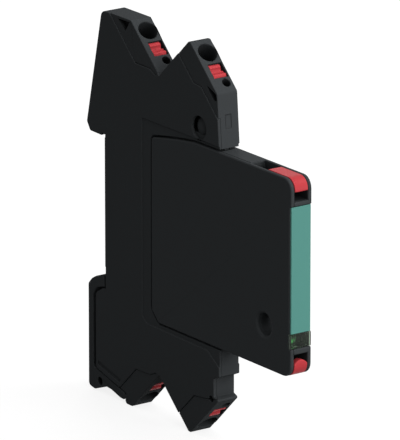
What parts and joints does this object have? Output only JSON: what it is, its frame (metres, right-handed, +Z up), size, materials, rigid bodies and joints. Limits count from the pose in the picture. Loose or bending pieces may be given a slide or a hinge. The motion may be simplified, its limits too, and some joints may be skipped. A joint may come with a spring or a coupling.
{
  "type": "surge protection barrier",
  "caption": "Slim rail-mounted surge protection barrier: wiring base with angled push-in terminals, plug-in protection module with release levers and a sprung rail latch.",
  "frame": {"origin": "where the rail's centre line meets the base's rail seat, at the middle of the width", "axes": "+Z up along the part's length, -Y towards the labelled front, +X to the right seen from the front"},
  "size_m": [0.0062, 0.0846, 0.0986],
  "materials": {
    "black_housing": "satin",
    "black_module": "satin",
    "red_plastic": "satin",
    "contact_metal": "tinned",
    "spring_steel": "bright",
    "board": "satin",
    "ceramic_tube": "matte",
    "component": "matte",
    "status_green": "gloss",
    "window": "gloss",
    "label": "matte"
  },
  "bodies": {
    "base": {"base_housing": "black_housing", "base_cover": "black_housing", "earth_contact": "contact_metal", "current_bar_top_rear": "contact_metal", "current_bar_top_front": "contact_metal", "current_bar_bottom_rear": "contact_metal", "current_bar_bottom_front": "contact_metal", "clamp_spring_top_rear": "spring_steel", "clamp_spring_top_front": "spring_steel", "clamp_spring_bottom_rear": "spring_steel", "clamp_spring_bottom_front": "spring_steel"},
    "rail_latch": {"rail_latch": "black_housing"},
    "pusher_top_rear": {"pusher_top_rear": "red_plastic"},
    "pusher_top_front": {"pusher_top_front": "red_plastic"},
    "pusher_bottom_rear": {"pusher_bottom_rear": "red_plastic"},
    "pusher_bottom_front": {"pusher_bottom_front": "red_plastic"},
    "module": {"module_case": "black_module", "module_cover": "black_module", "circuit_board": "board", "gas_tube": "ceramic_tube", "suppressor_diode_1": "component", "suppressor_diode_2": "component", "decoupling_resistor_1": "component", "decoupling_resistor_2": "component", "contact_blade_1": "contact_metal", "contact_blade_2": "contact_metal", "contact_blade_3": "contact_metal", "contact_blade_4": "contact_metal", "earth_blade": "contact_metal", "status_leds": "status_green", "status_window": "window", "label_strip": "label"},
    "release_lever_top": {"release_lever_top": "red_plastic"},
    "release_lever_bottom": {"release_lever_bottom": "red_plastic"}
  },
  "joints": [
    {"name": "rail_latch_swing", "type": "hinge", "parent": "base", "child": "rail_latch", "pos_m": [0, -0.00865, -0.048], "axis": [-1, 0, 0], "range_deg": [0, 5], "stiffness_Nm_per_rad": 0.2},
    {"name": "pusher_top_rear_press", "type": "slide", "parent": "base", "child": "pusher_top_rear", "axis": [0, 0.6884, -0.7254], "range_m": [0, 0.0015], "stiffness_N_per_m": 1200, "deforming": ["clamp_spring_top_rear"]},
    {"name": "pusher_top_front_press", "type": "slide", "parent": "base", "child": "pusher_top_front", "axis": [0, 0.6884, -0.7254], "range_m": [0, 0.0015], "stiffness_N_per_m": 1200, "deforming": ["clamp_spring_top_front"]},
    {"name": "pusher_bottom_rear_press", "type": "slide", "parent": "base", "child": "pusher_bottom_rear", "axis": [0, 0.6884, 0.7254], "range_m": [0, 0.0015], "stiffness_N_per_m": 1200, "deforming": ["clamp_spring_bottom_rear"]},
    {"name": "pusher_bottom_front_press", "type": "slide", "parent": "base", "child": "pusher_bottom_front", "axis": [0, 0.6884, 0.7254], "range_m": [0, 0.0015], "stiffness_N_per_m": 1200, "deforming": ["clamp_spring_bottom_front"]},
    {"name": "module_unplug", "type": "slide", "parent": "base", "child": "module", "axis": [0, -1, 0], "range_m": [0, 0.045]},
    {"name": "release_lever_top_swing", "type": "hinge", "parent": "module", "child": "release_lever_top", "pos_m": [0, -0.0683, 0.0214], "axis": [-1, 0, 0], "range_deg": [0, 40]},
    {"name": "release_lever_bottom_swing", "type": "hinge", "parent": "module", "child": "release_lever_bottom", "pos_m": [0, -0.0683, -0.0224], "axis": [1, 0, 0], "range_deg": [0, 40]}
  ]
}
